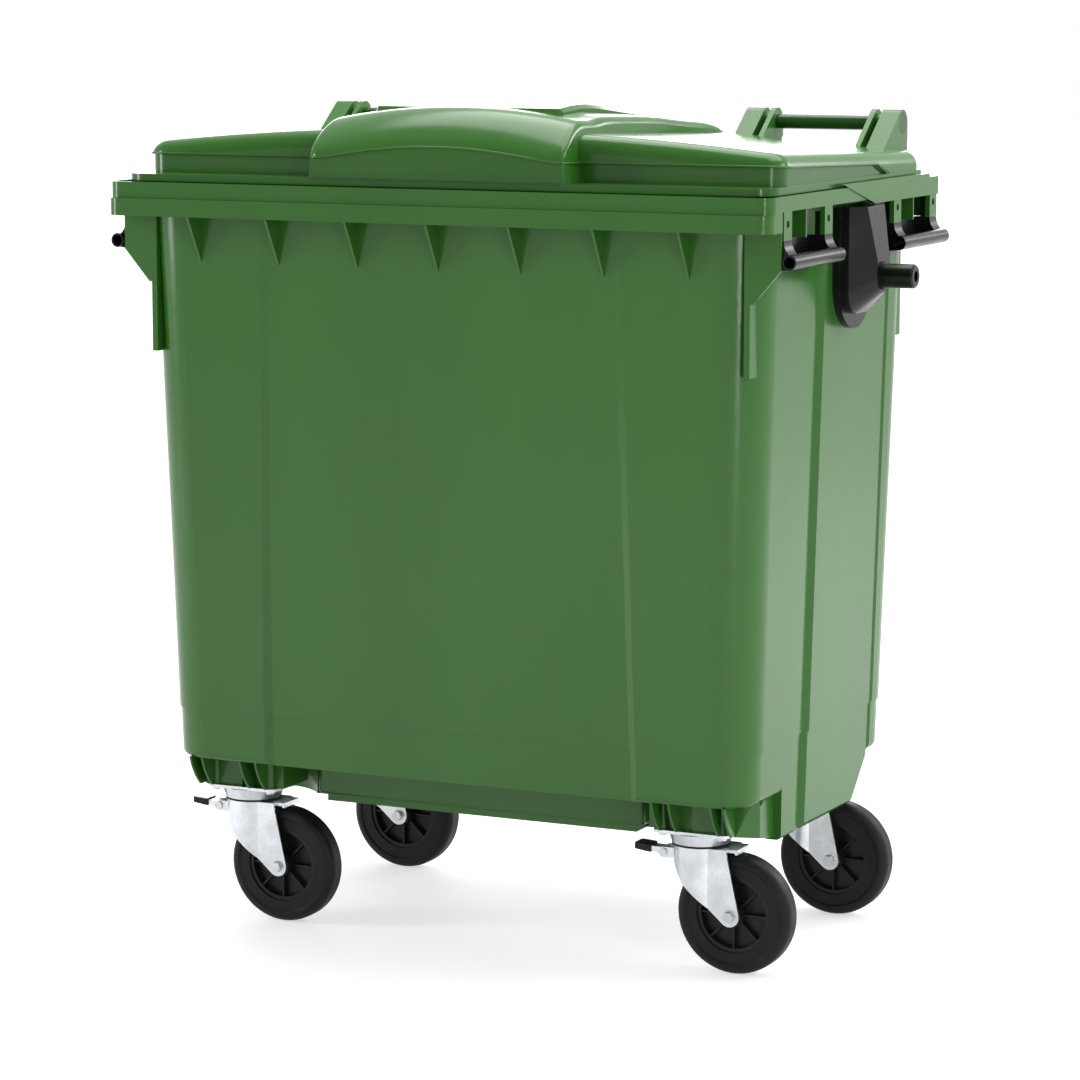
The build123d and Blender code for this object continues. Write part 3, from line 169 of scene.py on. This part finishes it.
def zinc(name, bright, dull, rough, spangle=260):
    """Zinc plated sheet steel: small crystal patches, rolling lines and a cloudy brightness."""
    s = Shader(name)
    patches = s.cells(spangle)
    cloud = s.noise(30, 4, 0.6)
    lines = s.noise(240, 2, 0.5, (1, 1, 0.06))
    tone = s.blend(s.spread(cloud, 0.35, 0.65, 0, 1), bright, dull)
    s.colour(s.blend(s.spread(s.noise(spangle, 1, 0.4), 0.35, 0.65, 0, 0.35), tone, dull))
    s.roughness(s.total(s.spread(patches, 0, 1, rough - 0.05, rough + 0.06),
                        s.spread(cloud, 0.3, 0.7, -0.04, 0.05)))
    s.relief(s.total(lines, s.scaled(cloud, 0.6)), 0.0001, 0.35)
    s.fixed(Metallic=1.0)
    return s.material


green_deep = (0.031, 0.138, 0.015)
green_light = (0.039, 0.160, 0.021)
trim_deep = (0.014, 0.062, 0.009)
trim_light = (0.018, 0.075, 0.012)
black = (0.0035, 0.0035, 0.0038)
tyre_black = (0.008, 0.008, 0.0085)
looks = {
    "green_body": moulded_green("green_body_moulded", green_deep, green_light),
    "green_lid": moulded_green("green_lid_moulded", green_deep, green_light, (0.3, 1, 1)),
    "green_trim": moulded_green("green_trim_moulded", trim_deep, trim_light, (0.2, 1, 1)),
    "black_plastic": moulded_black("black_grained", black, 0.26),
    "wheel_plastic": moulded_black("wheel_grained", tyre_black, 0.36, 520),
    "tyre_rubber": rubber("tyre_rubber_matt", tyre_black, 0.5),
    "seal_rubber": rubber("seal_rubber_matt", (0.010, 0.010, 0.011), 0.6),
    "zinc_steel": zinc("zinc_sheet", (0.80, 0.82, 0.85), (0.66, 0.68, 0.71), 0.30),
    "zinc_bolts": zinc("zinc_forged", (0.74, 0.76, 0.78), (0.58, 0.60, 0.63), 0.34, 520),
    "screw_black": moulded_black("screw_blackened", (0.02, 0.02, 0.021), 0.4, 900),
}
for part in frame["record"]["subparts"]:
    mesh_object = nodes[part["node"]]
    for holder in mesh_object.material_slots:
        holder.material = looks[part["material_slot"]]


# Soft edges on the moulded and pressed pieces

edge_radii = {
    "container_body": 0.0005, "lid": 0.0012, "trunnion_plate": 0.002, "trunnion_pin": 0.0008,
    "handle_": 0.0015, "fork": 0.0008, "mounting_plate": 0.0006, "brake_lever": 0.0008,
    "brake_pedal": 0.001, "wheel_rim": 0.0007, "tyre": 0.0008,
}
for name, node in nodes.items():
    for start, radius in edge_radii.items():
        if name.startswith(start) and name != "handle_screws":
            bevel = node.modifiers.new("soft_edges", "BEVEL")
            bevel.width = radius
            bevel.segments = 2
            bevel.limit_method = "ANGLE"
            bevel.angle_limit = math.radians(35)
            bevel.harden_normals = True


# Raised beads that run round the lid's dome and over the front of its hood, in millimetres

bead_radius = 2.1
bead_front = 1322.5
bead_fall = 21
dome_half = 581
dome_front = -290
dome_length = 656
dome_corner = 40
corner_turns = (0, 0.39, 0.79, 1.18, 1.57)
# From the hood along the front of the dome to its corner: x and y.
front_way = ((236, dome_front), (242, dome_front), (535, dome_front))
# Along the side of the dome to its notch: y.
side_way = (-243, -60, 130, 140)
# Down the notch to the lid's rim: x, y and z.
notch_way = ((581, 146, 1306), (581, 170, 1297.5), (580, 197, 1288))
# From the dome round the hood's corner to the crest of its wave: x, y and z.
wave = (
    (236, -291, 1322.5), (235, -300, 1322.6), (234, -322, 1322.8), (231, -340, 1323.2),
    (222, -351, 1324), (212, -351.6, 1325.2), (190, -351.7, 1327.5), (150, -351.6, 1334),
    (112, -351.2, 1339), (70, -350.6, 1343), (32, -350.2, 1344.8), (0, -350, 1345),
)


def bead(name, points):
    path = bpy.data.curves.new(name, "CURVE")
    path.dimensions = "3D"
    path.bevel_depth = bead_radius / 1000
    path.bevel_resolution = 3
    path.resolution_u = 8
    path.use_fill_caps = True
    line = path.splines.new("NURBS")
    line.points.add(len(points) - 1)
    for spot, place in zip(line.points, points):
        spot.co = (*(v / 1000 for v in place), 1)
    line.order_u = 3
    line.use_endpoint_u = True
    shaper = bpy.data.objects.new(name + "_path", path)
    mesh = bpy.data.meshes.new_from_object(shaper)
    bpy.data.objects.remove(shaper)
    mesh.name = name
    mesh.materials.clear()
    mesh.materials.append(looks["green_lid"])
    for face in mesh.polygons:
        face.use_smooth = True
    piece = bpy.data.objects.new(name, mesh)
    bpy.context.scene.collection.objects.link(piece)
    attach(piece, "lid")


def bead_height(y):
    return bead_front - bead_fall * (y - dome_front) / dome_length


def dome_bead(side):
    centre_x = dome_half - dome_corner
    centre_y = dome_front + dome_corner
    corner = [
        (centre_x + dome_corner * math.sin(turn), centre_y - dome_corner * math.cos(turn))
        for turn in corner_turns
    ]
    way = [*front_way, *corner] + [(dome_half, y) for y in side_way]
    return [(side * x, y, bead_height(y)) for x, y in way] + [(side * x, y, z) for x, y, z in notch_way]


bead("lid_bead_right", dome_bead(1))
bead("lid_bead_left", dome_bead(-1))
bead("hood_bead", [(-x, y, z) for x, y, z in wave[:-1]] + list(wave[::-1]))


# Stage

floor_size = 60
floor_drop = 0.0004
floor_shade = 0.62
floor_glow = 0.56
glow_rise_start = 1.1
glow_rise_end = 3.0
reflected_share = 0.6


def matte(name, shade):
    """A pale surface that the camera sees a little brighter, and white from a few metres off."""
    s = Shader(name)
    drift = s.noise(0.8, 3, 0.5)
    s.colour(s.blend(drift, (shade,) * 3, (0.985 * shade,) * 3))
    s.fixed(Roughness=0.75, Specular_IOR_Level=0.15)
    tree = s.tree
    rays = tree.nodes.new("ShaderNodeLightPath")
    seen = s.total(rays.outputs["Is Camera Ray"], s.scaled(rays.outputs["Is Glossy Ray"], reflected_share))
    seen = s.total(seen, rays.outputs["Is Transmission Ray"])
    glow = tree.nodes.new("ShaderNodeEmission")
    reach = tree.nodes.new("ShaderNodeVectorMath")
    reach.operation = "LENGTH"
    s.link(s.place, reach.inputs[0])
    amount = s.spread(reach.outputs["Value"], glow_rise_start, glow_rise_end, floor_glow, 1.0)
    product = tree.nodes.new("ShaderNodeMath")
    product.operation = "MULTIPLY"
    s.link(seen, product.inputs[0])
    s.link(amount, product.inputs[1])
    s.link(product.outputs["Value"], glow.inputs["Strength"])
    both = tree.nodes.new("ShaderNodeAddShader")
    s.link(s.surface.outputs["BSDF"], both.inputs[0])
    s.link(glow.outputs["Emission"], both.inputs[1])
    s.link(both.outputs["Shader"], tree.nodes["Material Output"].inputs["Surface"])
    return s.material


bpy.ops.mesh.primitive_plane_add(size=floor_size, location=(0, 0, -floor_drop))
floor = bpy.context.object
floor.name = "floor"
floor.data.materials.append(matte("studio_floor", floor_shade))

# The surroundings: dim in front of the object and bright behind it.
sky_front = 0.32
sky_rear = 1.0
world = bpy.data.worlds.new("studio")
bpy.context.scene.world = world
world.use_nodes = True
tree = world.node_tree
background = tree.nodes["Background"]
background.inputs["Color"].default_value = (1, 1, 1, 1)
rays = tree.nodes.new("ShaderNodeLightPath")
sky = tree.nodes.new("ShaderNodeTexCoord")
ways = tree.nodes.new("ShaderNodeSeparateXYZ")
tree.links.new(sky.outputs["Generated"], ways.inputs["Vector"])
rear = tree.nodes.new("ShaderNodeMapRange")
rear.interpolation_type = "SMOOTHSTEP"
tree.links.new(ways.outputs["Y"], rear.inputs["Value"])
rear.inputs["From Min"].default_value = -0.75
rear.inputs["From Max"].default_value = 0.65
rear.inputs["To Min"].default_value = sky_front
rear.inputs["To Max"].default_value = sky_rear
seen = tree.nodes.new("ShaderNodeMix")
tree.links.new(rays.outputs["Is Camera Ray"], seen.inputs["Factor"])
tree.links.new(rear.outputs["Result"], seen.inputs["A"])
seen.inputs["B"].default_value = 1.0
tree.links.new(seen.outputs["Result"], background.inputs["Strength"])


def soft_light(name, place, target, width, height, power):
    lamp = bpy.data.lights.new(name, "AREA")
    lamp.shape = "RECTANGLE"
    lamp.size = width
    lamp.size_y = height
    lamp.energy = power
    holder = bpy.data.objects.new(name, lamp)
    holder.location = place
    holder.rotation_euler = (Vector(target) - Vector(place)).to_track_quat("-Z", "Y").to_euler()
    bpy.context.scene.collection.objects.link(holder)
    holder.visible_camera = False


# Name, place, target, width and height in metres, and power in watts.
lamps = (
    ("right_box", (5.0, 1.6, 3.3), (0.2, 0, 0.8), 2.2, 2.0, 66),
    ("top_box", (0.2, 0.9, 4.4), (0, 0, 1.0), 4.4, 3.0, 150),
    ("left_box", (-4.6, -2.6, 2.2), (0, 0, 0.8), 1.0, 3.2, 110),
    ("front_strip", (4.2, -3.9, 1.7), (0.5, -0.3, 0.8), 0.2, 3.2, 50),
    ("back_box", (-2.7, 5.2, 2.1), (0, 0, 1.35), 4.6, 1.8, 120),
    ("rear_right_box", (3.3, 4.8, 2.8), (0.2, 0, 1.35), 2.2, 1.3, 58),
)
for lamp in lamps:
    soft_light(*lamp)


# Camera at the photograph's place

camera_place = (2.8396, -5.9324, 1.6241)
camera_pitch = 8.36
camera_turn = 25.38
camera_data = bpy.data.cameras.new("camera")
camera_data.sensor_width = 36
camera_data.lens = 128.7
camera = bpy.data.objects.new("camera", camera_data)
camera.location = camera_place
camera.rotation_euler = (math.radians(90 - camera_pitch), 0, math.radians(camera_turn))
bpy.context.scene.collection.objects.link(camera)
bpy.context.scene.camera = camera
bpy.context.scene.view_settings.view_transform = "Standard"

bpy.context.view_layer.update()
